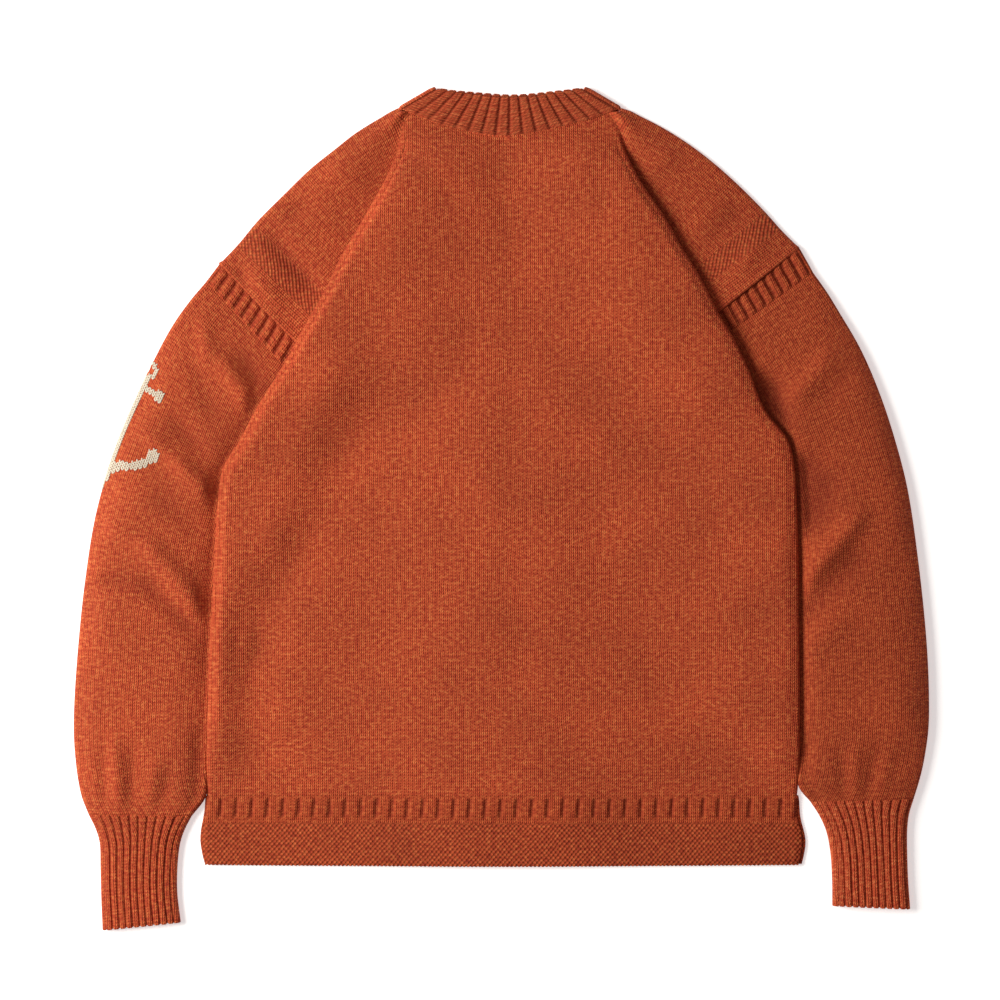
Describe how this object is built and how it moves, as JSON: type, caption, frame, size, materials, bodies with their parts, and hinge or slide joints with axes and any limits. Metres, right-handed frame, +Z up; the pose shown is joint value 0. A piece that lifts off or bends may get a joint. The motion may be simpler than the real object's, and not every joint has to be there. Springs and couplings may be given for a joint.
{
  "type": "fisherman cardigan",
  "caption": "Drop-shouldered wool fisherman cardigan laid face down, with ribbed neckband and cuffs, split garter hem and shoulders tucked under the body.",
  "frame": {"origin": "centre of the bounding box, at the height of the surface the garment lies on", "axes": "+X across the garment towards the wearer's right cuff, +Y from hem to neck, +Z up out of the back"},
  "size_m": [0.7498, 0.7371, 0.019],
  "materials": {
    "back_wool": "marled rust wool in plain knit",
    "front_wool": "marled rust wool in plain knit",
    "welt_wool": "marled rust wool in ladder rib and garter stitch",
    "sleeve_left_wool": "marled rust wool in plain knit, with an off-white knitted anchor",
    "sleeve_right_wool": "marled rust wool in plain knit",
    "rib_wool": "marled rust wool in two by two rib",
    "band_wool": "marled rust wool in garter stitch",
    "button_horn": "brown horn look"
  },
  "bodies": {
    "root": {"back": "back_wool", "back_welt": "welt_wool", "front_left": "front_wool", "front_right": "front_wool", "front_welt_left": "welt_wool", "front_welt_right": "welt_wool", "sleeve_left": "sleeve_left_wool", "sleeve_right": "sleeve_right_wool", "sleeve_head_left": "sleeve_left_wool", "sleeve_head_right": "sleeve_right_wool", "cuff_left": "rib_wool", "cuff_right": "rib_wool", "neckband": "rib_wool", "band_left": "band_wool", "band_right": "band_wool", "button_1": "button_horn", "button_2": "button_horn", "button_3": "button_horn", "button_4": "button_horn", "button_5": "button_horn", "button_6": "button_horn"}
  },
  "joints": []
}
